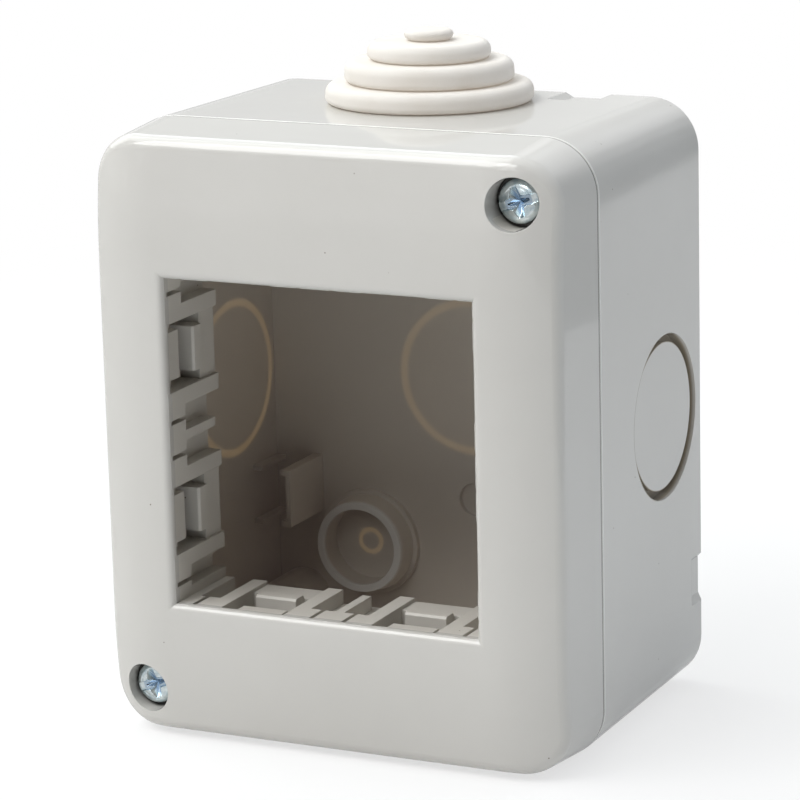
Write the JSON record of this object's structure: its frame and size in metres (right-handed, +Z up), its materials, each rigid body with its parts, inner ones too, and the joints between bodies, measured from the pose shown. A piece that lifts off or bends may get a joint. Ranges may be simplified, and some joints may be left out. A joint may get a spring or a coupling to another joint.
{
  "type": "surface_mount_box",
  "caption": "Grey moulded surface mounting box with a screwed cover, a square clip-in device opening, thin-web cable entries and a stepped cable grommet on its upper side",
  "frame": {"origin": "middle of the flat wall face", "axes": "X runs to the right seen from the front, Y runs into the wall, Z runs up towards the grommet"},
  "size_m": [0.069, 0.051, 0.0932],
  "materials": {
    "box_plastic": "gloss",
    "cover_plastic": "gloss",
    "soft_rubber": "satin",
    "zinc_steel": "polished"
  },
  "bodies": {
    "box": {"back_box": "box_plastic", "cable_grommet": "soft_rubber"},
    "cover": {"front_cover": "cover_plastic"},
    "screw_upper": {"cover_screw_upper": "zinc_steel"},
    "screw_lower": {"cover_screw_lower": "zinc_steel"}
  },
  "joints": [
    {"name": "cover_slide", "type": "slide", "parent": "box", "child": "cover", "axis": [0, -1, 0], "range_m": [0, 0.03]},
    {"name": "screw_upper_turn", "type": "hinge", "parent": "cover", "child": "screw_upper", "pos_m": [0.0278, -0.046, 0.0351], "axis": [0, -1, 0], "continuous": true},
    {"name": "screw_lower_turn", "type": "hinge", "parent": "cover", "child": "screw_lower", "pos_m": [-0.0278, -0.046, -0.0351], "axis": [0, -1, 0], "continuous": true}
  ]
}
